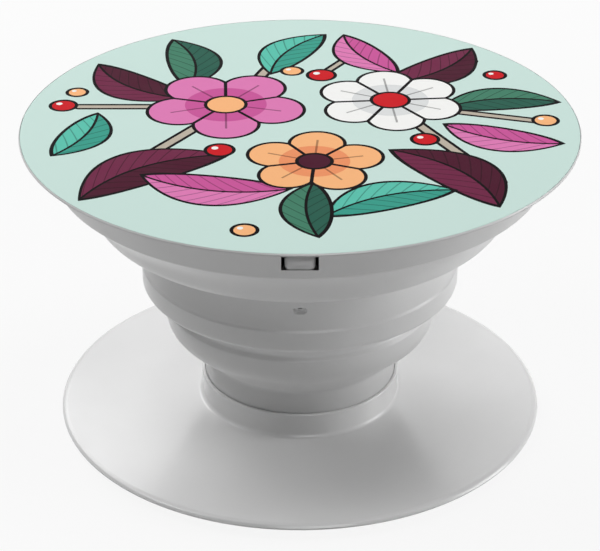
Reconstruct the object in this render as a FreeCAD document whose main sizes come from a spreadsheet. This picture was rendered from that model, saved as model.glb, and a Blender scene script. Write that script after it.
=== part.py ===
"""Collapsible phone grip, pulled out: a stick-on base, a folding accordion and a printed button.

Millimetres. The origin is the centre of the adhesive pad's underside, +Z runs from the phone
towards the button, and one of the button's windows faces -Y.
"""
import FreeCAD
import Part
import Sketcher
import math
import os
import re
from collections import namedtuple

SIZES = {
    # Adhesive pad under the base
    "pad_thickness": 0.8,
    "pad_inset": 1.5,
    # Base: a disc a little smaller than the button, with a conical top and a collar round the neck
    "base_inset": 1.95,
    "base_edge": 0.42,
    "base_edge_bevel_width": 0.45,
    "base_edge_bevel_height": 0.3,
    "base_rise": 0.45,
    "collar_height": 1.9,
    "collar_wall": 0.24,
    "collar_foot_width": 0.48,
    "collar_foot_height": 0.5,
    # Swivel: the accordion's neck in the collar, and its foot in the socket below
    "neck_radius": 7.12,
    "swivel_clearance": 0.06,
    "foot_width": 0.75,
    "foot_thickness": 0.45,
    "foot_play": 0.06,
    # Accordion, from the collar up: neck, lower bowl, groove, belt, waist, fold and upper bowl
    "wall": 0.6,
    "neck_height": 1.84,
    "lower_bowl_spread": 2.84,
    "lower_bowl_rise": 2.5,
    "lower_bowl_round": 2.0,
    "lower_bowl_height": 4.28,
    "groove_depth": 0.3,
    "groove_height": 0.7,
    "belt_overhang": 1.96,
    "belt_undercut": 0.96,
    "belt_height": 1.5,
    "belt_ledge": 0.2,
    "waist_height": 3.55,
    "waist_inset": 0.42,
    "fold_spread": 3.4,
    "upper_bowl_height": 3.8,
    "vent_width": 0.95,
    "vent_height": 0.6,
    "vent_round": 0.26,
    "vent_drop": 1.85,
    # Accordion's rim in the button, with its snap lugs
    "seam_inset": 0.3,
    "seat_gap": 0.05,
    "rim_wall": 0.9,
    "rim_clearance": 0.1,
    "lug_side_gap": 0.2,
    "lug_sill_gap": 0.05,
    "lug_corner_round": 0.35,
    "lug_lead_in": 0.15,
    "lug_recess": 0.05,
    # Button: a flange, and a tapered skirt with windows for the lugs
    "button_radius": 20.0,
    "button_edge": 0.18,
    "flange_overhang": 1.25,
    "flange_height": 0.63,
    "skirt_height": 2.2,
    "skirt_inset": 1.15,
    "skirt_wall": 0.5,
    "cap_thickness": 0.96,
    "window_count": 4,
    "window_width": 2.45,
    "window_sill": 0.8,
    # Printed disc in the button's recess
    "print_thickness": 0.15,
    "print_lip": 0.15,
    "print_clearance": 0.05,
}

# Heights, from the phone up
BASE_LOW = "pad_thickness"
BASE_TOP = f"{BASE_LOW} + base_edge"
COLLAR_LOW = f"{BASE_TOP} + base_rise"
COLLAR_TOP = f"{COLLAR_LOW} + collar_height"
SOCKET_TOP = f"{BASE_LOW} + foot_thickness + 2 * foot_play"
FOOT_LOW = f"{BASE_LOW} + foot_play"
FOOT_TOP = f"{FOOT_LOW} + foot_thickness"
LOWER_BOWL_LOW = f"{COLLAR_TOP} + neck_height"
LOWER_BOWL_TOP = f"{LOWER_BOWL_LOW} + lower_bowl_height"
GROOVE = f"{LOWER_BOWL_TOP} + groove_height"
BELT_LOW = f"{GROOVE} + belt_undercut"
BELT_TOP = f"{BELT_LOW} + belt_height"
WAIST_LOW = f"{BELT_TOP} + belt_ledge"
FOLD = f"{WAIST_LOW} + waist_height"
SEAT = f"{FOLD} + upper_bowl_height"
SKIRT_LOW = f"{SEAT} + seat_gap"
FLANGE_LOW = f"{SKIRT_LOW} + skirt_height"
EDGE_LOW = f"{FLANGE_LOW} + flange_height"
BUTTON_TOP = f"{EDGE_LOW} + button_edge"
CEILING = f"{BUTTON_TOP} - cap_thickness"
RECESS_FLOOR = f"{BUTTON_TOP} - print_thickness"
RIM_TOP = f"{CEILING} - rim_clearance"
WINDOW_LOW = f"{SKIRT_LOW} + window_sill"
LUG_LOW = f"{WINDOW_LOW} + lug_sill_gap"

# Lower bowl: a cone that turns into an upright wall at its shoulder. The bend is the tangent of half
# the angle between them, which places the shoulder's rounding outside and its mitre inside.
SLANT = "(lower_bowl_spread ^ 2 + lower_bowl_rise ^ 2) ^ 0.5"
BEND = f"({SLANT} - lower_bowl_rise) / lower_bowl_spread"
ROUNDED = f"lower_bowl_round * {BEND}"
SHOULDER = f"{LOWER_BOWL_LOW} + lower_bowl_rise"
CONE_TOP = f"{SHOULDER} - {ROUNDED} * lower_bowl_rise / {SLANT}"
CONE_EDGE = f"neck_radius + lower_bowl_spread - {ROUNDED} * lower_bowl_spread / {SLANT}"

# Radii, from the axis out
BASE = "button_radius - base_inset"
BORE = "neck_radius + swivel_clearance"
COLLAR = f"{BORE} + collar_wall"
FOOT = "neck_radius + foot_width"
SOCKET = f"{FOOT} + swivel_clearance"
NECK_INSIDE = "neck_radius - wall"
LOWER_BOWL = "neck_radius + lower_bowl_spread"
LOWER_BOWL_INSIDE = f"{LOWER_BOWL} - wall"
GROOVE_BOTTOM = f"{LOWER_BOWL} - groove_depth"
BELT = f"{GROOVE_BOTTOM} + belt_overhang"
WAIST_LOWER = f"{BELT} - belt_ledge"
WAIST = f"{WAIST_LOWER} - waist_inset"
WAIST_INSIDE = f"{WAIST} - wall"
FOLD_EDGE = f"{WAIST} + fold_spread"
SKIRT_TOP_OUTSIDE = "button_radius - flange_overhang"
SKIRT_OUTSIDE = f"{SKIRT_TOP_OUTSIDE} - skirt_inset"
SKIRT_INSIDE = f"{SKIRT_OUTSIDE} - skirt_wall"
UPPER_BOWL = f"{SKIRT_OUTSIDE} - seam_inset"
RIM = f"{SKIRT_INSIDE} - rim_clearance"
RIM_INSIDE = f"{RIM} - rim_wall"
RECESS = "button_radius - print_lip"
LUG_REACH = f"{SKIRT_OUTSIDE} + skirt_inset * window_sill / skirt_height - lug_recess"
LUG_SWEEP = f"{LUG_REACH} + 2 * lug_lead_in"

# Sketch numbering: the origin, the axes and the two ends of an edge
ORIGIN = -1
H_AXIS, V_AXIS = range(-1, -3, -1)
START, END = range(1, 3)
LEAST_CUT = 1e-5

# A corner of an outline, which runs anticlockwise. It is reached from the corner before it by a
# line, or by an arc of that radius that bulges out of the outline.
Corner = namedtuple("Corner", "across up radius", defaults=(None,))

doc = FreeCAD.newDocument("PhoneGrip")
sheet = doc.addObject("Spreadsheet::Sheet", "Sizes")
for row, (alias, size) in enumerate(SIZES.items(), start=1):
    sheet.set(f"A{row}", alias)
    sheet.set(f"B{row}", str(size))
    sheet.setAlias(f"B{row}", alias)
doc.recompute()


def bound(text):
    """The expression text with each size's name pointing to its cell in the sheet."""
    return re.sub(r"[a-z]\w*", r"Sizes.\g<0>", text)


def value_of(text):
    return float(sheet.evalExpression(bound(text)))


def new_body(label):
    body = doc.addObject("PartDesign::Body", label)
    body.Label = label
    return body


def origin_feature(body, role):
    return next(item for item in body.Origin.OriginFeatures if item.Role == role)


def new_sketch(body, name, plane, offset="0"):
    """A sketch on one of the body's origin planes, moved along the plane's normal."""
    sketch = body.newObject("Sketcher::SketchObject", name)
    sketch.AttachmentSupport = [(origin_feature(body, plane), "")]
    sketch.MapMode = "FlatFace"
    sketch.setExpression("AttachmentOffset.Base.z", bound(offset))
    return sketch


def add_dimension(sketch, kind, ends, text):
    index = sketch.addConstraint(Sketcher.Constraint(kind, *ends, value_of(text)))
    sketch.setExpression(f"Constraints[{index}]", bound(text))


def pin_point(sketch, item, end, corner):
    """Hold a point of the sketch at the corner's place, measured from the sketch's origin."""
    for kind, text, axis in (("DistanceX", corner.across, V_AXIS), ("DistanceY", corner.up, H_AXIS)):
        if text == "0":
            sketch.addConstraint(Sketcher.Constraint("PointOnObject", item, end, axis))
        elif value_of(text) < 0:
            add_dimension(sketch, kind, (item, end, ORIGIN, START), f"-({text})")
        else:
            add_dimension(sketch, kind, (ORIGIN, START, item, end), text)


def add_edge(sketch, start, finish, radius):
    """Draw a line, or an arc if it has a radius, and return its number."""
    if radius is None:
        return sketch.addGeometry(Part.LineSegment(start, finish))
    chord = finish - start
    swell = radius - math.sqrt(max(0, radius ** 2 - chord.Length ** 2 / 4))
    outward = FreeCAD.Vector(chord.y, -chord.x, 0).normalize()
    middle = (start + finish) / 2 + outward * swell
    return sketch.addGeometry(Part.Arc(start, middle, finish))


def draw_outline(sketch, corners):
    """Draw a closed outline through the corners and bind every one of them to the sheet."""
    points = [FreeCAD.Vector(value_of(corner.across), value_of(corner.up), 0) for corner in corners]
    edges = []
    for index, corner in enumerate(corners):
        radius = corner.radius and value_of(corner.radius)
        edges.append(add_edge(sketch, points[index - 1], points[index], radius))
    for index, corner in enumerate(corners):
        edge = edges[index]
        following = edges[(index + 1) % len(corners)]
        sketch.addConstraint(Sketcher.Constraint("Coincident", edge, END, following, START))
        pin_point(sketch, edge, END, corner)
        if corner.radius:
            add_dimension(sketch, "Radius", (edge,), corner.radius)


def turn_section(body, name, kind, corners):
    """Turn a half section, drawn in the XZ plane, all the way round the Z axis."""
    sketch = new_sketch(body, f"{name}Section", "XZ_Plane")
    draw_outline(sketch, corners)
    feature = body.newObject(kind, name)
    feature.Profile = sketch
    feature.ReferenceAxis = (sketch, ["V_Axis"])
    doc.recompute()


def turn_disc(body, name, radius, low, top):
    turn_section(body, name, "PartDesign::Revolution", [
        Corner("0", low),
        Corner(radius, low),
        Corner(radius, top),
        Corner("0", top),
    ])


def repeat_round_axis(body, name, features):
    """Repeat the front features at every window's place round the Z axis."""
    pattern = body.newObject("PartDesign::PolarPattern", name)
    pattern.Originals = features
    pattern.Axis = (origin_feature(body, "Z_Axis"), [""])
    pattern.setExpression("Occurrences", bound("window_count"))
    body.Tip = pattern
    doc.recompute()


def require_less(body, before, name):
    if not body.Shape.Volume < before - LEAST_CUT:
        raise RuntimeError(f"{name} cuts nothing from {body.Label}")


def pocket_front(body, name, corners):
    """Cut an outline, drawn in the XZ plane, through everything on the -Y side."""
    before = body.Shape.Volume
    sketch = new_sketch(body, f"{name}Outline", "XZ_Plane")
    draw_outline(sketch, corners)
    pocket = body.newObject("PartDesign::Pocket", name)
    pocket.Profile = sketch
    pocket.Type = "ThroughAll"
    pocket.Reversed = True
    doc.recompute()
    require_less(body, before, name)
    return pocket


def make_adhesive_pad():
    body = new_body("adhesive_pad")
    turn_disc(body, "Pad", f"{BASE} - pad_inset", "0", BASE_LOW)
    return body


def make_base_platform():
    body = new_body("base_platform")
    turn_section(body, "Platform", "PartDesign::Revolution", [
        Corner(SOCKET, BASE_LOW),
        Corner(BASE, BASE_LOW),
        Corner(BASE, f"{BASE_TOP} - base_edge_bevel_height"),
        Corner(f"{BASE} - base_edge_bevel_width", BASE_TOP),
        Corner(f"{COLLAR} + collar_foot_width", COLLAR_LOW),
        Corner(COLLAR, f"{COLLAR_LOW} + collar_foot_height"),
        Corner(COLLAR, COLLAR_TOP),
        Corner(BORE, COLLAR_TOP),
        Corner(BORE, SOCKET_TOP),
        Corner(SOCKET, SOCKET_TOP),
    ])
    return body


def make_accordion():
    body = new_body("accordion")
    turn_section(body, "Bellows", "PartDesign::Revolution", [
        Corner("0", FOOT_LOW),
        Corner(FOOT, FOOT_LOW),
        Corner(FOOT, FOOT_TOP),
        Corner("neck_radius", FOOT_TOP),
        Corner("neck_radius", LOWER_BOWL_LOW),
        Corner(CONE_EDGE, CONE_TOP),
        Corner(LOWER_BOWL, f"{SHOULDER} + {ROUNDED}", radius="lower_bowl_round"),
        Corner(LOWER_BOWL, LOWER_BOWL_TOP),
        Corner(GROOVE_BOTTOM, GROOVE),
        Corner(BELT, BELT_LOW),
        Corner(BELT, BELT_TOP),
        Corner(WAIST_LOWER, WAIST_LOW),
        Corner(WAIST, FOLD),
        Corner(FOLD_EDGE, FOLD),
        Corner(UPPER_BOWL, SEAT),
        Corner(RIM, SEAT),
        Corner(RIM, RIM_TOP),
        Corner(RIM_INSIDE, RIM_TOP),
        Corner(RIM_INSIDE, SEAT),
        Corner(f"{FOLD_EDGE} - wall / 2", f"{FOLD} + wall"),
        Corner(WAIST_INSIDE, f"{FOLD} + wall"),
        Corner(WAIST_INSIDE, BELT_LOW),
        Corner(LOWER_BOWL_INSIDE, BELT_LOW),
        Corner(LOWER_BOWL_INSIDE, f"{SHOULDER} + wall * {BEND}"),
        Corner(NECK_INSIDE, f"{LOWER_BOWL_LOW} + wall * {BEND}"),
        Corner(NECK_INSIDE, FOOT_TOP),
        Corner("0", FOOT_TOP),
    ])
    add_lugs(body)
    cut_vent(body)
    return body


def add_lugs(body):
    """Snap lugs on the rim: round-cornered blocks, cut back to ramps that lead into the windows."""
    half = "(window_width / 2 - lug_side_gap)"
    inset = f"{half} - lug_corner_round"
    corner_top = f"{LUG_LOW} + lug_corner_round"
    root = f"{RIM} - rim_wall / 2"
    sketch = new_sketch(body, "LugOutline", "XZ_Plane", root)
    draw_outline(sketch, [
        Corner(f"-{half}", RIM_TOP),
        Corner(f"-{half}", corner_top),
        Corner(f"-({inset})", LUG_LOW, radius="lug_corner_round"),
        Corner(inset, LUG_LOW),
        Corner(half, corner_top, radius="lug_corner_round"),
        Corner(half, RIM_TOP),
    ])
    lug = body.newObject("PartDesign::Pad", "Lug")
    lug.Profile = sketch
    lug.setExpression("Length", bound(f"{LUG_REACH} + lug_lead_in - ({root})"))
    doc.recompute()
    repeat_round_axis(body, "Lugs", [lug])
    before = body.Shape.Volume
    turn_section(body, "LugRamp", "PartDesign::Groove", [
        Corner(LUG_REACH, LUG_LOW),
        Corner(LUG_SWEEP, LUG_LOW),
        Corner(LUG_SWEEP, RIM_TOP),
        Corner(f"{RIM} + lug_lead_in", RIM_TOP),
    ])
    require_less(body, before, "LugRamp")


def cut_vent(body):
    """Oblong air vent through the front of the waist, below the fold."""
    top = f"{FOLD} - vent_drop"
    low = f"{top} - vent_height"
    half = "vent_width / 2"
    inset = f"{half} - vent_round"
    pocket_front(body, "Vent", [
        Corner(f"-({inset})", low, radius="vent_round"),
        Corner(inset, low),
        Corner(half, f"{low} + vent_round", radius="vent_round"),
        Corner(half, f"{top} - vent_round"),
        Corner(inset, top, radius="vent_round"),
        Corner(f"-({inset})", top),
        Corner(f"-{half}", f"{top} - vent_round", radius="vent_round"),
        Corner(f"-{half}", f"{low} + vent_round"),
    ])


def make_button():
    body = new_body("button")
    turn_section(body, "Cap", "PartDesign::Revolution", [
        Corner("0", CEILING),
        Corner(SKIRT_INSIDE, CEILING),
        Corner(SKIRT_INSIDE, SKIRT_LOW),
        Corner(SKIRT_OUTSIDE, SKIRT_LOW),
        Corner(SKIRT_TOP_OUTSIDE, FLANGE_LOW),
        Corner("button_radius", EDGE_LOW),
        Corner("button_radius", BUTTON_TOP),
        Corner(RECESS, BUTTON_TOP),
        Corner(RECESS, RECESS_FLOOR),
        Corner("0", RECESS_FLOOR),
    ])
    window = pocket_front(body, "Window", [
        Corner("-window_width / 2", WINDOW_LOW),
        Corner("window_width / 2", WINDOW_LOW),
        Corner("window_width / 2", CEILING),
        Corner("-window_width / 2", CEILING),
    ])
    repeat_round_axis(body, "Windows", [window])
    return body


def make_print_disc():
    body = new_body("print_disc")
    turn_disc(body, "Disc", f"{RECESS} - print_clearance", RECESS_FLOOR, BUTTON_TOP)
    return body


def check_document(bodies):
    for item in doc.Objects:
        if "Invalid" in item.State or "Error" in item.State:
            raise RuntimeError(f"{item.Name} failed: {item.State}")
    for body in bodies:
        shape = body.Shape
        if shape.isNull() or not shape.isValid() or len(shape.Solids) != 1:
            raise RuntimeError(f"{body.Label} isn't one valid solid")


def main():
    bodies = [
        make_adhesive_pad(),
        make_base_platform(),
        make_accordion(),
        make_button(),
        make_print_disc(),
    ]
    doc.recompute()
    check_document(bodies)
    os.makedirs("parts", exist_ok=True)
    for body in bodies:
        body.Shape.exportStep(f"parts/{body.Label}.step")


main()
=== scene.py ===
"""Looks of the collapsible phone grip: turned meshes with soft edges, plastics, print, light and camera."""
import bmesh
import bpy
import math
from collections import namedtuple
from mathutils import Matrix, Vector


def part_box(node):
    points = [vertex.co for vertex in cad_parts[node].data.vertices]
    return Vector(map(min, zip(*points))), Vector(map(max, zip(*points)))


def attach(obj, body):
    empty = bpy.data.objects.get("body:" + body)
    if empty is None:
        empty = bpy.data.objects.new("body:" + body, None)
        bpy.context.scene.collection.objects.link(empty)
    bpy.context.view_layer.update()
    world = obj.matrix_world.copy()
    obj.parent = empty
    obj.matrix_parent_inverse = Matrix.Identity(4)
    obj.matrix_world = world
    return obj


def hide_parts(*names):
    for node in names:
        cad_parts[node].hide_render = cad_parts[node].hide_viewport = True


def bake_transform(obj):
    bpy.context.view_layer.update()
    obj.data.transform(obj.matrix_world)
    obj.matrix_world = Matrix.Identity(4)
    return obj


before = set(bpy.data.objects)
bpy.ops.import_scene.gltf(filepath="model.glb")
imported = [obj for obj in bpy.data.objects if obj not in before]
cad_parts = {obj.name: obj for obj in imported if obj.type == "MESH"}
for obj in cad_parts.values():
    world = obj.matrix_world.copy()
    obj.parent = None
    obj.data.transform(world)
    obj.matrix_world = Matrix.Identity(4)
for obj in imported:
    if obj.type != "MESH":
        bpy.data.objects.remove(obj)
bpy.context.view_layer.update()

MM = 0.001

# Turned meshes: columns round the axis, the angle that one step of a rounding spans, the height of a
# row where the accordion's wall has to fold, and the angle from which an edge is drawn sharp
COLUMNS = 192
ARC_STEP = math.radians(9)
FOLD_ROW = 0.45
SHARP_ANGLE = math.radians(32)
ON_AXIS = 1e-6

# A corner of a half section in millimetres, and the radius that rounds it
Turn = namedtuple("Turn", "radius height round", defaults=(0,))


def node_box(name):
    """Lowest and highest corner of a node, in millimetres."""
    low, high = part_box(name)
    return low / MM, high / MM


PAD_LOW, PAD_HIGH = node_box("adhesive_pad")
BASE_LOW, BASE_HIGH = node_box("base_platform")
BELLOWS_LOW, BELLOWS_HIGH = node_box("accordion")
BUTTON_LOW, BUTTON_HIGH = node_box("button")
PRINT_LOW, PRINT_HIGH = node_box("print_disc")

# Pad, in millimetres
PAD_FOOT_ROUND = 0.1
PAD_TOP_ROUND = 0.05

# Base, in millimetres: a bulging edge, a conical top, and a collar over a socket
BASE_RADIUS = BASE_HIGH.x
BASE_UNDERCUT = 0.12
BASE_UNDERCUT_ROUND = 0.05
BASE_BULGE = 0.14
BASE_BULGE_ROUND = 0.1
BASE_BROW = 0.34
BASE_BROW_INSET = 0.16
BASE_BROW_ROUND = 0.2
BASE_EDGE = 0.42
BASE_EDGE_WIDTH = 0.45
BASE_EDGE_ROUND = 0.3
COLLAR_TOP = BASE_HIGH.z
COLLAR_LOW = COLLAR_TOP - 1.9
COLLAR_RADIUS = 7.38
COLLAR_FOOT_ROUND = 0.32
COLLAR_ROUND = 0.1
BORE_RADIUS = 7.15
BORE_ROUND = 0.03
SOCKET_RADIUS = 7.93
SOCKET_TOP = BASE_LOW.z + 0.57

# Outside of the accordion, in millimetres, from its foot up
FOOT = 7.87
FOOT_TOP = BELLOWS_LOW.z + 0.45
FOOT_ROUND = 0.15
NECK = 7.12
NECK_ROUND = 0.7
LOWER_BOWL = 9.96
LOWER_BOWL_LOW = COLLAR_TOP + 1.84
LOWER_BOWL_TOP = LOWER_BOWL_LOW + 4.15
SHOULDER = LOWER_BOWL_LOW + 2.5
SHOULDER_ROUND = 2.0
GROOVE = LOWER_BOWL_TOP + 0.83
GROOVE_DEPTH = 0.3
GROOVE_RISE = 0.3
GROOVE_EDGE_ROUND = 0.25
GROOVE_FOOT_ROUND = 0.3
GROOVE_TOP_ROUND = 0.1
BELT = 11.62
BELT_LOW = GROOVE + 0.96
BELT_TOP = BELT_LOW + 1.5
BELT_LOW_ROUND = 0.4
BELT_TOP_ROUND = 0.14
WAIST = 10.88
WAIST_LOWER = 11.35
WAIST_FOOT = 11.5
WAIST_LOW = BELT_TOP + 0.12
WAIST_BEND = BELT_TOP + 0.95
WAIST_FOOT_ROUND = 0.3
WAIST_BEND_ROUND = 1.2
WAIST_TOP_ROUND = 0.5
FOLD = BELT_TOP + 3.75
FOLD_SAG = 0.12
FOLD_EDGE = 14.48
FOLD_ROUND = 2.2
SEAT = BUTTON_LOW.z - 0.02
BOWL_MIDDLE = 15.64
BOWL_MIDDLE_RISE = 0.25
BOWL_ROUND = 4.0
UPPER_BOWL = 17.55
LIP_ROUND = 0.14
RIM = 17.0
RIM_INSIDE = 16.1
RIM_ROUND = 0.12

# Inside of the accordion, in millimetres
WALL = 0.6
INSIDE_RISE = 0.27
INSIDE_FOLD_ROUND = 0.4
INSIDE_WAIST_ROUND = 0.3
INSIDE_SHOULDER_ROUND = 1.0
INSIDE_NECK_ROUND = 0.4
INSIDE_FOOT_ROUND = 0.3

# Vent in the waist, in millimetres: an oblong dimple, and a slit through its floor. The profile goes
# from the mouth to the floor and says how far the outline stands out and how deep it lies
VENT_WIDTH = 0.95
VENT_HEIGHT = 0.46
VENT_MIDDLE = FOLD - 2.15
VENT_CORNER = 0.22
VENT_SURFACE = WAIST_LOWER - 0.06
VENT_PROFILE = ((0.3, -0.3), (0.06, -0.01), (0.02, 0.05), (0, 0.12), (-0.03, 0.24), (-0.1, 0.3))
SLIT_WIDTH = 0.32
SLIT_HEIGHT = 0.07
SLIT_CORNER = 0.03

# Button and print, in millimetres
SKIRT_INSIDE = 17.1
SKIRT_INSIDE_ROUND = 0.06
SKIRT_OUTSIDE = 17.6
SKIRT_OUTSIDE_ROUND = 0.05
SKIRT_TOP = 18.75
SKIRT_TOP_ROUND = 0.15
FLANGE_LOW = BUTTON_LOW.z + 2.2
FLANGE_EDGE = BUTTON_HIGH.z - 0.18
FLANGE_CHAMFER = 0.09
FLANGE_ROUND = 0.05
CEILING = BUTTON_HIGH.z - 0.96
RIM_LAND = 0.07
RECESS = BUTTON_HIGH.x - RIM_LAND
PRINT_GAP = 0.03
PRINT_RADIUS = RECESS - PRINT_GAP
PRINT_ROUND = 0.03

# Windows in the skirt, in millimetres, with sills that slope down inwards
WINDOWS = 4
WINDOW_WIDTH = 2.45
WINDOW_LOW = BUTTON_LOW.z + 0.8
WINDOW_CORNER = 0.04
WINDOW_DEPTHS = (SKIRT_INSIDE - 0.4, SKIRT_TOP + 0.3)
SILL_FRONT = 18.0
SILL_SLOPE = math.tan(math.radians(30))

# Snap lugs in the windows, in millimetres, and the slots in the rim beside them
LUG_WIDTH = 2.0
LUG_LOW = WINDOW_LOW
LUG_TOP = BELLOWS_HIGH.z - 0.02
LUG_ROOT = RIM - 0.4
LUG_REACH = BELLOWS_HIGH.x
LUG_TOP_REACH = 17.15
LUG_CORNER = 0.24
LUG_EDGE = 0.25
LUG_FOOT_EDGE = 0.04
LUG_STEPS = 14
LUG_EDGE_STEPS = 6
SLOT_LOW = SEAT + 0.15
SLOT_TOP = BELLOWS_HIGH.z + 0.3
SLOT_INSIDE = LUG_WIDTH / 2 - 0.1
SLOT_OUTSIDE = WINDOW_WIDTH / 2 + 0.05
SLOT_CORNER = 0.05
SLOT_DEPTHS = (RIM_INSIDE - 0.3, LUG_REACH + 0.3)


def rounded(corners):
    """Points of a closed half section, with an arc in place of each rounded corner."""
    points = []
    for index, corner in enumerate(corners):
        here = Vector(corner[:2])
        if not corner.round:
            points.append(here)
            continue
        back = (Vector(corners[index - 1][:2]) - here).normalized()
        ahead = (Vector(corners[(index + 1) % len(corners)][:2]) - here).normalized()
        half = back.angle(ahead) / 2
        centre = here + (back + ahead).normalized() * corner.round / math.sin(half)
        spoke = here + back * corner.round / math.tan(half) - centre
        turn = math.copysign(math.pi - 2 * half, ahead.cross(back))
        steps = max(2, math.ceil(abs(turn) / ARC_STEP))
        points += [centre + Matrix.Rotation(turn * step / steps, 2) @ spoke for step in range(steps + 1)]
    return points


def with_rows(points, row):
    """The same section with its long sides divided, so that no step is longer than a row."""
    divided = []
    for start, end in zip(points, points[1:] + points[:1]):
        steps = max(1, math.ceil((end - start).length / row))
        divided += [start.lerp(end, step / steps) for step in range(steps)]
    return divided


def ring(mesh, point):
    """One vertex on the axis, or a ring of them round it."""
    if point.x < ON_AXIS:
        return [mesh.verts.new((0, 0, point.y * MM))]
    angles = [math.tau * (column + 0.5) / COLUMNS for column in range(COLUMNS)]
    return [mesh.verts.new((point.x * math.cos(a) * MM, point.x * math.sin(a) * MM, point.y * MM))
            for a in angles]


def bridge(mesh, lower, upper):
    """Faces between two rings, or between a ring and the axis."""
    if len(lower) == 1 and len(upper) == 1:
        return
    for column in range(COLUMNS):
        after = (column + 1) % COLUMNS
        corners = [lower[column % len(lower)], lower[after % len(lower)],
                   upper[after % len(upper)], upper[column % len(upper)]]
        mesh.faces.new(list(dict.fromkeys(corners)))


def smooth(piece):
    """Shade the piece smooth but for its sharp edges."""
    piece.data.shade_smooth()
    piece.data.set_sharp_from_angle(angle=SHARP_ANGLE)


def new_piece(name, mesh):
    """An object from a bmesh, with its faces turned out."""
    bmesh.ops.recalc_face_normals(mesh, faces=mesh.faces)
    data = bpy.data.meshes.new(name)
    mesh.to_mesh(data)
    mesh.free()
    piece = bpy.data.objects.new(name, data)
    bpy.context.scene.collection.objects.link(piece)
    smooth(piece)
    return piece


def turned(name, corners, row=None):
    """A half section turned round the Z axis."""
    points = rounded(corners)
    if row:
        points = with_rows(points, row)
    mesh = bmesh.new()
    rings = [ring(mesh, point) for point in points]
    for lower, upper in zip(rings, rings[1:] + rings[:1]):
        bridge(mesh, lower, upper)
    return new_piece(name, mesh)


def lofted(name, sections):
    """A closed solid through sections of equal point count, each a list of places in millimetres."""
    mesh = bmesh.new()
    loops = [[mesh.verts.new(Vector(point) * MM) for point in section] for section in sections]
    for lower, upper in zip(loops, loops[1:]):
        for index in range(len(lower)):
            after = (index + 1) % len(lower)
            mesh.faces.new((lower[index], lower[after], upper[after], upper[index]))
    mesh.faces.new(loops[0])
    mesh.faces.new(loops[-1])
    return new_piece(name, mesh)


def combine(piece, tool, operation):
    """Unite the piece with the tool, or cut the tool out of it, and delete the tool."""
    boolean = piece.modifiers.new("Combine", "BOOLEAN")
    boolean.operation = operation
    boolean.solver = "EXACT"
    boolean.object = tool
    bpy.context.view_layer.update()
    evaluated = piece.evaluated_get(bpy.context.evaluated_depsgraph_get())
    data = bpy.data.meshes.new_from_object(evaluated)
    piece.modifiers.clear()
    piece.data = data
    bpy.data.objects.remove(tool)
    smooth(piece)


def round_box(across, low, high, corner, depth, steps=6):
    """Outline of a box with round corners at that depth along Y."""
    centres = [(across - corner, high - corner, 0), (corner - across, high - corner, 90),
               (corner - across, low + corner, 180), (across - corner, low + corner, 270)]
    outline = []
    for x, z, first in centres:
        for step in range(steps + 1):
            angle = math.radians(first + 90 * step / steps)
            outline.append((x + corner * math.cos(angle), depth, z + corner * math.sin(angle)))
    return outline


def make_pad():
    """Foam pad under the base."""
    top = BASE_LOW.z
    return turned("adhesive_pad_foam", [
        Turn(0, PAD_LOW.z),
        Turn(PAD_HIGH.x, PAD_LOW.z, PAD_FOOT_ROUND),
        Turn(PAD_HIGH.x, top, PAD_TOP_ROUND),
        Turn(0, top),
    ])


def make_base():
    """Glossy base with its collar and the socket under it."""
    low = BASE_LOW.z
    return turned("base_shell", [
        Turn(SOCKET_RADIUS, low),
        Turn(BASE_RADIUS - BASE_UNDERCUT, low, BASE_UNDERCUT_ROUND),
        Turn(BASE_RADIUS, low + BASE_BULGE, BASE_BULGE_ROUND),
        Turn(BASE_RADIUS - BASE_BROW_INSET, low + BASE_BROW, BASE_BROW_ROUND),
        Turn(BASE_RADIUS - BASE_EDGE_WIDTH, low + BASE_EDGE, BASE_EDGE_ROUND),
        Turn(COLLAR_RADIUS, COLLAR_LOW, COLLAR_FOOT_ROUND),
        Turn(COLLAR_RADIUS, COLLAR_TOP, COLLAR_ROUND),
        Turn(BORE_RADIUS, COLLAR_TOP, BORE_ROUND),
        Turn(BORE_RADIUS, SOCKET_TOP),
        Turn(SOCKET_RADIUS, SOCKET_TOP),
    ])


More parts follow.
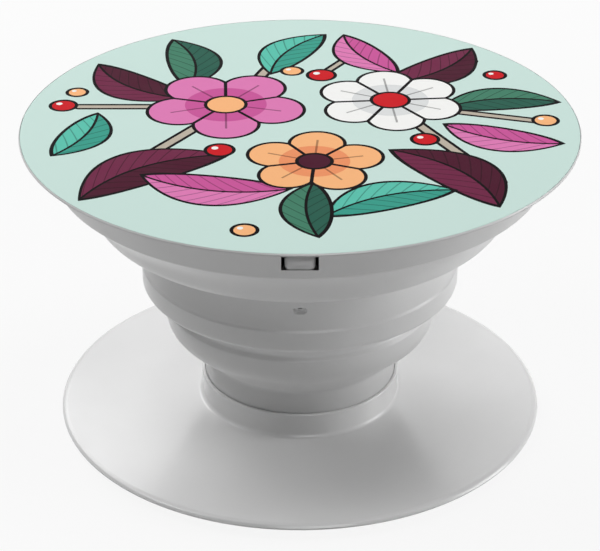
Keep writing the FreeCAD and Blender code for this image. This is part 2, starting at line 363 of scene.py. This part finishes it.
def make_accordion():
    """Soft bellows with its lugs, slots and vent."""
    low = BELLOWS_LOW.z
    top = BELLOWS_HIGH.z
    piece = turned("accordion_bellows", [
        Turn(0, low),
        Turn(FOOT, low, FOOT_ROUND),
        Turn(FOOT, FOOT_TOP, FOOT_ROUND),
        Turn(NECK, FOOT_TOP),
        Turn(NECK, LOWER_BOWL_LOW, NECK_ROUND),
        Turn(LOWER_BOWL, SHOULDER, SHOULDER_ROUND),
        Turn(LOWER_BOWL, LOWER_BOWL_TOP, GROOVE_EDGE_ROUND),
        Turn(LOWER_BOWL - GROOVE_DEPTH, LOWER_BOWL_TOP + GROOVE_RISE, GROOVE_FOOT_ROUND),
        Turn(LOWER_BOWL - GROOVE_DEPTH, GROOVE, GROOVE_TOP_ROUND),
        Turn(BELT, BELT_LOW, BELT_LOW_ROUND),
        Turn(BELT, BELT_TOP, BELT_TOP_ROUND),
        Turn(WAIST_FOOT, WAIST_LOW, WAIST_FOOT_ROUND),
        Turn(WAIST_LOWER, WAIST_BEND, WAIST_BEND_ROUND),
        Turn(WAIST, FOLD - FOLD_SAG, WAIST_TOP_ROUND),
        Turn(FOLD_EDGE, FOLD - FOLD_SAG, FOLD_ROUND),
        Turn(BOWL_MIDDLE, (FOLD + SEAT) / 2 + BOWL_MIDDLE_RISE, BOWL_ROUND),
        Turn(UPPER_BOWL, SEAT, LIP_ROUND),
        Turn(RIM, SEAT),
        Turn(RIM, top, RIM_ROUND),
        Turn(RIM_INSIDE, top, RIM_ROUND),
        Turn(RIM_INSIDE, SEAT),
        Turn(FOLD_EDGE - WALL / 2, FOLD + WALL, INSIDE_FOLD_ROUND),
        Turn(WAIST - WALL, FOLD + WALL, INSIDE_WAIST_ROUND),
        Turn(WAIST - WALL, BELT_LOW),
        Turn(LOWER_BOWL - WALL, BELT_LOW),
        Turn(LOWER_BOWL - WALL, SHOULDER + INSIDE_RISE, INSIDE_SHOULDER_ROUND),
        Turn(NECK - WALL, LOWER_BOWL_LOW + INSIDE_RISE, INSIDE_NECK_ROUND),
        Turn(NECK - WALL, FOOT_TOP, INSIDE_FOOT_ROUND),
        Turn(0, FOOT_TOP),
    ], row=FOLD_ROW)
    for window in range(WINDOWS):
        angle = math.tau * window / WINDOWS
        for side in (-1, 1):
            combine(piece, make_slot(angle, side), "DIFFERENCE")
        combine(piece, make_lug(angle), "UNION")
    combine(piece, make_vent(), "DIFFERENCE")
    combine(piece, make_vent_slit(), "DIFFERENCE")
    return piece


def make_slot(angle, side):
    """Cutter for the slot in the rim beside a lug, so that the window's gap opens into the hollow."""
    half = (SLOT_OUTSIDE - SLOT_INSIDE) / 2
    sections = [round_box(half, SLOT_LOW, SLOT_TOP, SLOT_CORNER, -depth, steps=2) for depth in SLOT_DEPTHS]
    slot = lofted("slot", sections)
    middle = side * (SLOT_INSIDE + SLOT_OUTSIDE) / 2 * MM
    slot.data.transform(Matrix.Rotation(angle, 4, "Z") @ Matrix.Translation((middle, 0, 0)))
    return slot


def quarter(radius, rise):
    """How far a rounding of that radius has come out at that rise above its start."""
    return math.sqrt(radius ** 2 - max(0, radius - rise) ** 2)


def lug_section(half, reach, height):
    """Level section of a lug, with its two front edges rounded."""
    section = [(-half, -LUG_ROOT, height), (half, -LUG_ROOT, height)]
    for side, first in ((1, 0), (-1, 90)):
        for step in range(LUG_EDGE_STEPS + 1):
            angle = math.radians(first + 90 * step / LUG_EDGE_STEPS)
            x = side * (half - LUG_EDGE) + LUG_EDGE * math.cos(angle)
            y = LUG_EDGE - reach - LUG_EDGE * math.sin(angle)
            section.append((x, y, height))
    return section


def make_lug(angle):
    """Snap lug on the rim, with round lower corners and a face that curves in towards its top."""
    tall = LUG_TOP - LUG_LOW
    sections = []
    for step in range(LUG_STEPS + 1):
        rise = tall * (1 - math.cos(math.pi / 2 * step / LUG_STEPS))
        half = LUG_WIDTH / 2 - LUG_CORNER + quarter(LUG_CORNER, min(rise, LUG_CORNER))
        edge = LUG_FOOT_EDGE - quarter(LUG_FOOT_EDGE, min(rise, LUG_FOOT_EDGE))
        lean = (LUG_REACH - LUG_TOP_REACH) * (rise / tall) ** 2
        sections.append(lug_section(half, LUG_REACH - lean - edge, LUG_LOW + rise))
    lug = lofted("lug", sections)
    lug.data.transform(Matrix.Rotation(angle, 4, "Z"))
    return lug


def make_vent():
    """Cutter for the vent's oblong dimple, flared at its mouth and rounded at its floor."""
    sections = []
    for flare, sunk in VENT_PROFILE:
        half = VENT_WIDTH / 2 + flare
        rise = VENT_HEIGHT / 2 + flare
        low = VENT_MIDDLE - rise
        high = VENT_MIDDLE + rise
        sections.append(round_box(half, low, high, VENT_CORNER + flare, sunk - VENT_SURFACE))
    return lofted("vent", sections)


def make_vent_slit():
    """Cutter for the slit that lets air through the dimple's floor."""
    top = VENT_MIDDLE + SLIT_HEIGHT
    sections = [round_box(SLIT_WIDTH / 2, VENT_MIDDLE, top, SLIT_CORNER, -depth)
                for depth in (WAIST_LOWER, WAIST - 2 * WALL)]
    return lofted("vent_slit", sections)


def make_window(angle):
    """Cutter for a window in the button's skirt."""
    sections = []
    for depth in WINDOW_DEPTHS:
        sill = WINDOW_LOW + (depth - SILL_FRONT) * SILL_SLOPE
        sections.append(round_box(WINDOW_WIDTH / 2, sill, FLANGE_LOW, WINDOW_CORNER, -depth, steps=2))
    window = lofted("window", sections)
    window.data.transform(Matrix.Rotation(angle, 4, "Z"))
    return window


def make_button():
    """Button with a thin flange, a recess for the print, and a skirt with windows."""
    piece = turned("button_cap", [
        Turn(0, CEILING),
        Turn(SKIRT_INSIDE, CEILING),
        Turn(SKIRT_INSIDE, BUTTON_LOW.z, SKIRT_INSIDE_ROUND),
        Turn(SKIRT_OUTSIDE, BUTTON_LOW.z, SKIRT_OUTSIDE_ROUND),
        Turn(SKIRT_TOP, FLANGE_LOW, SKIRT_TOP_ROUND),
        Turn(BUTTON_HIGH.x, FLANGE_EDGE, FLANGE_ROUND),
        Turn(BUTTON_HIGH.x, BUTTON_HIGH.z - FLANGE_CHAMFER, FLANGE_ROUND),
        Turn(RECESS, BUTTON_HIGH.z),
        Turn(RECESS, PRINT_LOW.z),
        Turn(0, PRINT_LOW.z),
    ])
    for index in range(WINDOWS):
        combine(piece, make_window(math.tau * index / WINDOWS), "DIFFERENCE")
    return piece


def make_print():
    """Printed disc in the button's recess."""
    return turned("printed_face", [
        Turn(0, PRINT_LOW.z),
        Turn(PRINT_RADIUS, PRINT_LOW.z),
        Turn(PRINT_RADIUS, PRINT_HIGH.z, PRINT_ROUND),
        Turn(0, PRINT_HIGH.z),
    ])


def linear(red, green, blue):
    """A colour of 0 to 255 values as the renderer's linear colour."""
    channels = []
    for value in (red, green, blue):
        share = value / 255
        channels.append(share / 12.92 if share <= 0.04045 else ((share + 0.055) / 1.055) ** 2.4)
    return (*channels, 1)


def grey(value):
    """A grey of 0 to 255 as the renderer's linear colour."""
    return linear(value, value, value)


# Finishes: sizes of clouds, gloss patches, cells and peel in millimetres, and the middle range of a noise
NOISE_LOW = 0.3
NOISE_HIGH = 0.7
PLASTIC_CLOUD = 7.0
PLASTIC_PATCH = 2.2
PLASTIC_IOR = 1.49
FOAM_LIGHT = linear(172, 174, 176)
FOAM_DARK = linear(150, 152, 154)
FOAM_CLOUD = 1.5
FOAM_PATCH = 0.6
FOAM_ROUGHNESS = (0.75, 0.95)
FOAM_CELL = 0.22
FOAM_CELL_DEPTH = 0.05
FILM_PATCH = 1.8
FILM_ROUGHNESS = (0.36, 0.46)
FILM_SPECULAR = 0.01
FILM_PEEL = 0.5
FILM_PEEL_DEPTH = 0.002


def add_node(tree, kind, **settings):
    """A new node with its settings."""
    made = tree.nodes.new(kind)
    for name, value in settings.items():
        setattr(made, name, value)
    return made


def feed(tree, socket, value):
    """Link an output into the socket, or set the socket to a constant."""
    if isinstance(value, bpy.types.NodeSocket):
        tree.links.new(value, socket)
    else:
        socket.default_value = value


def maths(tree, operation, *values):
    """Result of a sum on outputs and constants."""
    made = add_node(tree, "ShaderNodeMath", operation=operation)
    for socket, value in zip(made.inputs, values):
        feed(tree, socket, value)
    return made.outputs[0]


def mix(tree, factor, first, second):
    """The first colour at factor 0 and the second at factor 1."""
    made = add_node(tree, "ShaderNodeMix", data_type="RGBA")
    feed(tree, made.inputs[0], factor)
    feed(tree, made.inputs[6], first)
    feed(tree, made.inputs[7], second)
    return made.outputs[2]


def ramp(tree, value, start, end, low=0.0, high=1.0, shape="LINEAR"):
    """A number that goes from low to high as the value goes from start to end."""
    made = add_node(tree, "ShaderNodeMapRange", interpolation_type=shape)
    feed(tree, made.inputs["Value"], value)
    feed(tree, made.inputs["From Min"], start)
    feed(tree, made.inputs["From Max"], end)
    feed(tree, made.inputs["To Min"], low)
    feed(tree, made.inputs["To Max"], high)
    return made.outputs[0]


def object_point(tree):
    """Place on the piece in millimetres."""
    place = add_node(tree, "ShaderNodeTexCoord")
    scaled = add_node(tree, "ShaderNodeVectorMath", operation="SCALE")
    feed(tree, scaled.inputs["Vector"], place.outputs["Object"])
    feed(tree, scaled.inputs["Scale"], 1 / MM)
    return scaled.outputs["Vector"]


def noise(tree, point, size):
    """Noise whose features are about that size in millimetres."""
    made = add_node(tree, "ShaderNodeTexNoise")
    feed(tree, made.inputs["Vector"], point)
    feed(tree, made.inputs["Scale"], 1 / size)
    feed(tree, made.inputs["Detail"], 3.0)
    return made.outputs[0]


def patches(tree, point, size, low, high):
    """Noise of that size, stretched over a range."""
    return ramp(tree, noise(tree, point, size), NOISE_LOW, NOISE_HIGH, low, high)


def bump(tree, height, depth):
    """Surface normal for a height of 0 to 1 that stands that many millimetres high."""
    made = add_node(tree, "ShaderNodeBump")
    feed(tree, made.inputs["Height"], height)
    feed(tree, made.inputs["Distance"], depth * MM)
    feed(tree, made.inputs["Strength"], 1.0)
    return made.outputs["Normal"]


def new_material(name):
    """A material, its node tree and its shader."""
    material = bpy.data.materials.new(name)
    material.use_nodes = True
    shader = material.node_tree.nodes["Principled BSDF"]
    return material, material.node_tree, shader


def painted_shade_down(tree, point, colour, low_colour, low, high):
    """Painted shade: the colour above a height, fading to a darker one at a lower height."""
    axes = add_node(tree, "ShaderNodeSeparateXYZ")
    feed(tree, axes.inputs[0], point)
    return mix(tree, ramp(tree, axes.outputs["Z"], low, high, shape="SMOOTHSTEP"), low_colour, colour)


def plastic(name, light, dark, roughness, grain, grain_depth, neck_shade=None):
    """Moulded plastic in greys of 0 to 255: a faint cloud, uneven gloss and a fine moulding grain, with
    painted shade that darkens it towards the collar when a shade grey is given.
    """
    material, tree, shader = new_material(name)
    point = object_point(tree)
    cloud = patches(tree, point, PLASTIC_CLOUD, 0.0, 1.0)
    colour = mix(tree, cloud, grey(dark), grey(light))
    # Painted shade: the grey darkens from the belt down to the collar, where the lower bellows lie in
    # shade.
    if neck_shade:
        colour = painted_shade_down(tree, point, colour, grey(neck_shade), COLLAR_TOP, BELT_LOW)
    feed(tree, shader.inputs["Base Color"], colour)
    feed(tree, shader.inputs["Roughness"], patches(tree, point, PLASTIC_PATCH, *roughness))
    feed(tree, shader.inputs["Normal"], bump(tree, noise(tree, point, grain), grain_depth))
    feed(tree, shader.inputs["IOR"], PLASTIC_IOR)
    return material


def foam():
    """Closed-cell foam of the pad: matt grey with fine cells."""
    material, tree, shader = new_material("Adhesive foam")
    point = object_point(tree)
    cells = add_node(tree, "ShaderNodeTexVoronoi")
    feed(tree, cells.inputs["Vector"], point)
    feed(tree, cells.inputs["Scale"], 1 / FOAM_CELL)
    cloud = patches(tree, point, FOAM_CLOUD, 0.0, 1.0)
    feed(tree, shader.inputs["Base Color"], mix(tree, cloud, FOAM_DARK, FOAM_LIGHT))
    feed(tree, shader.inputs["Roughness"], patches(tree, point, FOAM_PATCH, *FOAM_ROUGHNESS))
    feed(tree, shader.inputs["Normal"], bump(tree, cells.outputs["Distance"], FOAM_CELL_DEPTH))
    return material


# Print: a floral spray. Places are in millimetres from the disc's centre, and +Y is away from the front
MINT = linear(204, 228, 221)
INK = linear(14, 9, 12)
MAGENTA = linear(202, 90, 155)
ROSE = linear(222, 126, 182)
PLUM = linear(75, 25, 45)
WINE = linear(112, 42, 72)
TEAL = linear(95, 195, 175)
SEA = linear(62, 158, 140)
GREEN = linear(45, 95, 80)
MOSS = linear(70, 128, 104)
PEACH = linear(250, 185, 130)
CORAL = linear(238, 150, 104)
RED = linear(205, 32, 40)
WHITE = linear(246, 246, 244)
PEARL = linear(222, 224, 224)
STONE = linear(190, 180, 165)

# Lines of the print in millimetres, and how strongly the fine ones are inked
LINE = 0.26
MIDRIB = LINE * 0.4
VEIN_PITCH = 1.15
VEIN_SHARE = 0.13
VEIN_SLANT = 1.2
VEIN_INK = 0.45
PETAL_SEAM = LINE * 0.5
PETAL_RIB = LINE * 0.3
RIB_INK = 0.55

# Shares of a flower's reach at its heart, core and ribs, and of a berry's radius at its gleam
HEART = 0.85
CORE = 0.42
RIB_REACH = 1.2
GLEAM = 0.24
GLEAM_SHIFT = 0.34

Leaf = namedtuple("Leaf", "x y angle length width bend light dark")
Flower = namedtuple("Flower", "x y angle reach petal petals light dark core")
Berry = namedtuple("Berry", "x y radius colour")
Twig = namedtuple("Twig", "x y end_x end_y width")

TWIGS = [
    Twig(-12.6, -8.4, -5.0, 3.0, 0.42),
    Twig(-5.0, 3.0, -1.2, 13.4, 0.42),
    Twig(13.5, -9.5, 6.5, 3.5, 0.42),
    Twig(6.5, 3.5, 13.0, 11.5, 0.42),
    Twig(-16.0, 3.0, -5.0, 3.0, 0.36),
    Twig(17.0, 0.5, 6.5, 3.5, 0.36),
    Twig(1.0, -6.0, 0.6, -13.0, 0.36),
    Twig(2.0, 9.5, 4.2, 13.0, 0.3),
]
LEAVES = [
    Leaf(-10.9, -7.2, 36, 6.0, 2.5, 0.05, WINE, PLUM),
    Leaf(-15.2, -2.0, 70, 3.8, 1.7, -0.05, TEAL, SEA),
    Leaf(-6.0, -10.8, 168, 5.2, 2.2, 0.05, ROSE, MAGENTA),
    Leaf(-12.6, 6.6, 138, 4.8, 2.1, 0.06, WINE, PLUM),
    Leaf(-8.0, 11.4, 100, 4.6, 2.0, -0.05, MOSS, GREEN),
    Leaf(-1.0, 13.4, 62, 4.4, 1.9, 0.05, TEAL, SEA),
    Leaf(4.6, 12.6, 118, 4.2, 1.8, 0.05, ROSE, MAGENTA),
    Leaf(10.5, 9.6, 44, 5.0, 2.1, -0.05, WINE, PLUM),
    Leaf(14.4, 4.4, 8, 4.4, 1.9, 0.06, MOSS, GREEN),
    Leaf(14.0, -2.6, 158, 4.4, 1.9, 0.05, ROSE, MAGENTA),
    Leaf(11.0, -7.8, 128, 5.6, 2.4, -0.05, WINE, PLUM),
    Leaf(5.6, -11.6, 24, 4.8, 2.0, 0.05, TEAL, SEA),
    Leaf(0.4, -13.6, 92, 4.0, 1.7, 0.04, MOSS, GREEN),
]
FLOWERS = [
    Flower(-5.4, 3.4, 20, 3.5, 2.35, 5, ROSE, MAGENTA, PEACH),
    Flower(6.6, 4.2, 5, 3.3, 2.05, 6, WHITE, PEARL, RED),
    Flower(1.0, -6.2, 50, 2.9, 1.95, 5, PEACH, CORAL, PLUM),
]
BERRIES = [
    Berry(-17.2, 3.2, 0.95, RED),
    Berry(-16.4, 5.6, 0.75, PEACH),
    Berry(1.6, 8.8, 1.05, RED),
    Berry(-0.6, 9.6, 0.8, PEACH),
    Berry(8.8, -2.6, 0.95, RED),
    Berry(17.6, 0.6, 0.9, PEACH),
    Berry(-5.6, -4.4, 1.0, RED),
    Berry(-3.6, -16.6, 0.85, PEACH),
    Berry(14.6, 8.8, 0.8, RED),
]

# Kinds of input of a motif's node group
NUMBER = "NodeSocketFloat"
COLOUR = "NodeSocketColor"
VECTOR = "NodeSocketVector"


def new_group(name, inputs):
    """A node group that lays one motif over the colour under it."""
    group = bpy.data.node_groups.new(name, "ShaderNodeTree")
    kinds = {"Under": COLOUR, "Point": VECTOR, "Centre": VECTOR, "Angle": NUMBER, **inputs}
    for label, kind in kinds.items():
        group.interface.new_socket(label, in_out="INPUT", socket_type=kind)
    group.interface.new_socket("Colour", in_out="OUTPUT", socket_type=COLOUR)
    source = add_node(group, "NodeGroupInput").outputs
    sink = add_node(group, "NodeGroupOutput").inputs["Colour"]
    return group, source, sink


def local_axes(tree, source):
    """The point as seen from the motif's centre, turned to the motif's own axes."""
    moved = add_node(tree, "ShaderNodeVectorMath", operation="SUBTRACT")
    feed(tree, moved.inputs[0], source["Point"])
    feed(tree, moved.inputs[1], source["Centre"])
    turned_point = add_node(tree, "ShaderNodeVectorRotate", rotation_type="Z_AXIS", invert=True)
    feed(tree, turned_point.inputs["Vector"], moved.outputs[0])
    feed(tree, turned_point.inputs["Angle"], source["Angle"])
    axes = add_node(tree, "ShaderNodeSeparateXYZ")
    feed(tree, axes.inputs[0], turned_point.outputs[0])
    return axes.outputs["X"], axes.outputs["Y"]


def squares(tree, first, second):
    """Sum of two squares."""
    first_square = maths(tree, "MULTIPLY", first, first)
    second_square = maths(tree, "MULTIPLY", second, second)
    return maths(tree, "ADD", first_square, second_square)


def length(tree, across, along):
    """Length of a step across and along."""
    return maths(tree, "SQRT", squares(tree, across, along))


def inked(tree, under, distance, fill):
    """Lay a filled shape with an ink line round it over the colour under it."""
    outline = mix(tree, maths(tree, "LESS_THAN", distance, LINE / 2), under, INK)
    return mix(tree, maths(tree, "LESS_THAN", distance, -LINE / 2), outline, fill)


def leaf_group():
    """Leaf between two arcs, with a dark half, a midrib and slanting veins."""
    tree, source, sink = new_group("Leaf", {
        "Length": NUMBER, "Width": NUMBER, "Bend": NUMBER, "Light": COLOUR, "Dark": COLOUR})
    along, straight = local_axes(tree, source)
    curve = maths(tree, "MULTIPLY", source["Bend"], maths(tree, "MULTIPLY", along, along))
    across = maths(tree, "ADD", straight, curve)
    side = maths(tree, "ABSOLUTE", across)
    square = squares(tree, source["Length"], source["Width"])
    radius = maths(tree, "DIVIDE", square, maths(tree, "MULTIPLY", source["Width"], 2.0))
    offset = maths(tree, "SUBTRACT", radius, source["Width"])
    distance = maths(tree, "SUBTRACT", length(tree, along, maths(tree, "ADD", side, offset)), radius)
    fill = mix(tree, maths(tree, "GREATER_THAN", across, 0.0), source["Dark"], source["Light"])
    chevron = maths(tree, "SUBTRACT", along, maths(tree, "MULTIPLY", side, VEIN_SLANT))
    phase = maths(tree, "FRACT", maths(tree, "DIVIDE", chevron, VEIN_PITCH))
    vein = maths(tree, "LESS_THAN", phase, VEIN_SHARE)
    fill = mix(tree, maths(tree, "MULTIPLY", vein, VEIN_INK), fill, INK)
    fill = mix(tree, maths(tree, "LESS_THAN", side, MIDRIB), fill, INK)
    feed(tree, sink, inked(tree, source["Under"], distance, fill))
    return tree


def flower_group():
    """Flower of round petals, folded into half a petal's wedge, with a dark heart and a core."""
    tree, source, sink = new_group("Flower", {
        "Reach": NUMBER, "Petal": NUMBER, "Petals": NUMBER,
        "Light": COLOUR, "Dark": COLOUR, "Core": COLOUR})
    x, y = local_axes(tree, source)
    out = length(tree, x, y)
    wedge = maths(tree, "DIVIDE", math.tau, source["Petals"])
    half_wedge = maths(tree, "DIVIDE", wedge, 2.0)
    angle = maths(tree, "FLOORED_MODULO", maths(tree, "ARCTAN2", y, x), wedge)
    folded = maths(tree, "ABSOLUTE", maths(tree, "SUBTRACT", angle, half_wedge))
    along = maths(tree, "MULTIPLY", out, maths(tree, "COSINE", folded))
    across = maths(tree, "MULTIPLY", out, maths(tree, "SINE", folded))
    petal = length(tree, maths(tree, "SUBTRACT", along, source["Reach"]), across)
    distance = maths(tree, "SUBTRACT", petal, source["Petal"])
    distance = maths(tree, "MINIMUM", distance, maths(tree, "SUBTRACT", out, source["Reach"]))
    depth = maths(tree, "DIVIDE", out, source["Reach"])
    fill = mix(tree, maths(tree, "GREATER_THAN", depth, HEART), source["Dark"], source["Light"])
    seam = maths(tree, "MULTIPLY", out, maths(tree, "SINE", maths(tree, "SUBTRACT", half_wedge, folded)))
    fill = mix(tree, maths(tree, "LESS_THAN", seam, PETAL_SEAM), fill, INK)
    narrow = maths(tree, "LESS_THAN", across, PETAL_RIB)
    rib = maths(tree, "MULTIPLY", narrow, maths(tree, "LESS_THAN", depth, RIB_REACH))
    fill = mix(tree, maths(tree, "MULTIPLY", rib, RIB_INK), fill, INK)
    petals = inked(tree, source["Under"], distance, fill)
    core = maths(tree, "SUBTRACT", out, maths(tree, "MULTIPLY", source["Reach"], CORE))
    feed(tree, sink, inked(tree, petals, core, source["Core"]))
    return tree


def berry_group():
    """Round berry with a gleam towards its upper left."""
    tree, source, sink = new_group("Berry", {"Radius": NUMBER, "Fill": COLOUR})
    along, across = local_axes(tree, source)
    distance = maths(tree, "SUBTRACT", length(tree, along, across), source["Radius"])
    shift = maths(tree, "MULTIPLY", source["Radius"], GLEAM_SHIFT)
    gleam = length(tree, maths(tree, "ADD", along, shift), maths(tree, "SUBTRACT", across, shift))
    spot = maths(tree, "LESS_THAN", gleam, maths(tree, "MULTIPLY", source["Radius"], GLEAM))
    fill = mix(tree, spot, source["Fill"], WHITE)
    feed(tree, sink, inked(tree, source["Under"], distance, fill))
    return tree


def twig_group():
    """Straight twig with round ends that starts at its centre."""
    tree, source, sink = new_group("Twig", {"Length": NUMBER, "Width": NUMBER, "Fill": COLOUR})
    along, across = local_axes(tree, source)
    inside = maths(tree, "MINIMUM", maths(tree, "MAXIMUM", along, 0.0), source["Length"])
    beyond = maths(tree, "SUBTRACT", along, inside)
    distance = maths(tree, "SUBTRACT", length(tree, beyond, across), source["Width"])
    feed(tree, sink, inked(tree, source["Under"], distance, source["Fill"]))
    return tree


def lay(tree, group, under, point, item, angle, **settings):
    """Lay one motif over the colour under it and return the new colour."""
    made = add_node(tree, "ShaderNodeGroup", node_tree=group)
    common = {"Under": under, "Point": point, "Centre": (item.x, item.y, 0), "Angle": angle}
    for label, setting in {**common, **settings}.items():
        feed(tree, made.inputs[label], setting)
    return made.outputs["Colour"]


def floral_spray(tree, point):
    """The print's colour: twigs under leaves under flowers and berries, on mint."""
    flat = add_node(tree, "ShaderNodeVectorMath", operation="MULTIPLY")
    feed(tree, flat.inputs[0], point)
    feed(tree, flat.inputs[1], (1, 1, 0))
    spot = flat.outputs[0]
    colour = MINT
    twig = twig_group()
    for item in TWIGS:
        run = Vector((item.end_x - item.x, item.end_y - item.y))
        colour = lay(tree, twig, colour, spot, item, math.atan2(run.y, run.x),
                     Length=run.length, Width=item.width, Fill=STONE)
    leaf = leaf_group()
    for item in LEAVES:
        colour = lay(tree, leaf, colour, spot, item, math.radians(item.angle),
                     Length=item.length, Width=item.width, Bend=item.bend, Light=item.light, Dark=item.dark)
    flower = flower_group()
    for item in FLOWERS:
        colour = lay(tree, flower, colour, spot, item, math.radians(item.angle),
                     Reach=item.reach, Petal=item.petal, Petals=item.petals,
                     Light=item.light, Dark=item.dark, Core=item.core)
    berry = berry_group()
    for item in BERRIES:
        colour = lay(tree, berry, colour, spot, item, 0.0, Radius=item.radius, Fill=item.colour)
    return colour


def print_material():
    """Printed film: the floral spray under a semi-gloss coat with a faint orange-peel."""
    material, tree, shader = new_material("Printed film")
    point = object_point(tree)
    feed(tree, shader.inputs["Base Color"], floral_spray(tree, point))
    feed(tree, shader.inputs["Roughness"], patches(tree, point, FILM_PATCH, *FILM_ROUGHNESS))
    feed(tree, shader.inputs["Specular IOR Level"], FILM_SPECULAR)
    feed(tree, shader.inputs["Normal"], bump(tree, noise(tree, point, FILM_PEEL), FILM_PEEL_DEPTH))
    return material


# Studio: lamps and floor in metres, and the linear greys of the floor and of the world's light
SOFTBOX_DISTANCE = 0.34
SOFTBOX_SIZE = 0.16
SOFTBOX_AIM = 0.012
WORLD_GREY = 0.03
FLOOR_GREY = 0.6
FLOOR_SIZE = 4

# Floor: how white it is to a seen ray beside the grip, and how far out, in millimetres, it begins
# to fade into the backdrop and has become white
FLOOR_WHITE = 0.9
SHADOW_REACH = 40.0
FLOOR_REACH = 200.0

# Camera: its place in metres, its tilt up from straight down, and its lens and sensor in millimetres
CAMERA_PLACE = (0, -0.14357, 0.08871)
CAMERA_TILT = math.radians(61.62)
CAMERA_LENS = 132.16
CAMERA_SENSOR = 36


def seen_ray(tree):
    """One for rays from the camera and for mirrored and refracted ones, which show the backdrop."""
    path = add_node(tree, "ShaderNodeLightPath")
    seen = maths(tree, "MAXIMUM", path.outputs["Is Camera Ray"], path.outputs["Is Glossy Ray"])
    return maths(tree, "MAXIMUM", seen, path.outputs["Is Transmission Ray"])


def choose(tree, factor, first, second):
    """The first shader at factor 0 and the second at factor 1."""
    made = add_node(tree, "ShaderNodeMixShader")
    feed(tree, made.inputs[0], factor)
    feed(tree, made.inputs[1], first.outputs[0])
    feed(tree, made.inputs[2], second.outputs[0])
    return made.outputs[0]


def make_world():
    """Dim even light that looks white to a seen ray."""
    world = bpy.data.worlds.new("Studio")
    world.use_nodes = True
    bpy.context.scene.world = world
    tree = world.node_tree
    tree.nodes.clear()
    dim = add_node(tree, "ShaderNodeBackground")
    feed(tree, dim.inputs["Color"], (WORLD_GREY, WORLD_GREY, WORLD_GREY, 1))
    white = add_node(tree, "ShaderNodeBackground")
    feed(tree, white.inputs["Color"], (1, 1, 1, 1))
    out = add_node(tree, "ShaderNodeOutputWorld")
    feed(tree, out.inputs["Surface"], choose(tree, seen_ray(tree), dim, white))


def floor_backdrop(tree):
    """How far a seen ray takes the floor for the backdrop: less near the grip, where its shadow falls."""
    away = add_node(tree, "ShaderNodeVectorMath", operation="LENGTH")
    feed(tree, away.inputs[0], object_point(tree))
    share = ramp(tree, away.outputs["Value"], SHADOW_REACH, FLOOR_REACH, FLOOR_WHITE, 1.0)
    return maths(tree, "MULTIPLY", seen_ray(tree), share)


def make_floor():
    """Pale floor that looks white but keeps a soft shadow."""
    bpy.ops.mesh.primitive_plane_add(size=FLOOR_SIZE, location=(0, 0, 0))
    floor = bpy.context.object
    floor.name = "studio_floor"
    material = bpy.data.materials.new("Studio floor")
    material.use_nodes = True
    tree = material.node_tree
    tree.nodes.clear()
    matt = add_node(tree, "ShaderNodeBsdfDiffuse")
    feed(tree, matt.inputs["Color"], (FLOOR_GREY, FLOOR_GREY, FLOOR_GREY, 1))
    glow = add_node(tree, "ShaderNodeEmission")
    feed(tree, glow.inputs["Color"], (1, 1, 1, 1))
    out = add_node(tree, "ShaderNodeOutputMaterial")
    feed(tree, out.inputs["Surface"], choose(tree, floor_backdrop(tree), matt, glow))
    floor.data.materials.append(material)


def softbox(name, bearing, elevation, power):
    """Square lamp that looks at the middle of the grip: bearing 0 is in front and 90 on the right."""
    turn = math.radians(bearing)
    climb = math.radians(elevation)
    away = Vector((math.sin(turn) * math.cos(climb), -math.cos(turn) * math.cos(climb), math.sin(climb)))
    lamp = bpy.data.lights.new(name, "AREA")
    lamp.shape = "SQUARE"
    lamp.size = SOFTBOX_SIZE
    lamp.energy = power
    holder = bpy.data.objects.new(name, lamp)
    holder.location = Vector((0, 0, SOFTBOX_AIM)) + away * SOFTBOX_DISTANCE
    holder.rotation_euler = away.to_track_quat("Z", "Y").to_euler()
    bpy.context.scene.collection.objects.link(holder)
    return holder


def make_lights():
    """Five softboxes, and one in front that shows only in gloss, for the light on the folds' edges."""
    softbox("Left", bearing=270, elevation=55, power=0.48)
    softbox("Right", bearing=90, elevation=15, power=0.525)
    softbox("Top", bearing=90, elevation=75, power=0.37)
    softbox("Back", bearing=180, elevation=35, power=0.096)
    softbox("Back left", bearing=210, elevation=35, power=0.296)
    glint = softbox("Front glint", bearing=8, elevation=36, power=0.35)
    glint.visible_diffuse = False


def make_camera():
    """Camera of the photograph, straight in front and 28.4 degrees above the horizon."""
    camera = bpy.data.cameras.new("Camera")
    camera.sensor_width = CAMERA_SENSOR
    camera.lens = CAMERA_LENS
    holder = bpy.data.objects.new("Camera", camera)
    holder.location = CAMERA_PLACE
    holder.rotation_euler = (CAMERA_TILT, 0, 0)
    bpy.context.scene.collection.objects.link(holder)
    bpy.context.scene.camera = holder


def dress(piece, material, node, body=None):
    """Give the piece its finish, and let it stand for its node and ride on its body."""
    piece.data.materials.clear()
    piece.data.materials.append(material)
    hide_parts(node)
    if body:
        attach(piece, body)


def main():
    """Studio first, then the pieces from the pad up."""
    bpy.context.scene.view_settings.view_transform = "Standard"
    make_world()
    make_floor()
    make_lights()
    make_camera()
    dress(make_pad(), foam(), "adhesive_pad", "base")
    gloss = plastic("Base plastic", light=240, dark=237, roughness=(0.16, 0.24),
                    grain=0.5, grain_depth=0.001)
    dress(make_base(), gloss, "base_platform", "base")
    # The bellows' lower grey is painted shade, darker towards the collar.
    soft = plastic("Soft plastic", light=236, dark=232, roughness=(0.28, 0.36),
                   grain=0.12, grain_depth=0.002, neck_shade=214)
    bellows = make_accordion()
    dress(bellows, soft, "accordion")
    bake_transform(bellows)
    # The button's grey is darker than the bellows' to paint the shade its flange casts on the skirt.
    satin = plastic("Button plastic", light=218, dark=214, roughness=(0.3, 0.38),
                    grain=0.25, grain_depth=0.002)
    dress(make_button(), satin, "button", "button")
    dress(make_print(), print_material(), "print_disc", "button")


main()
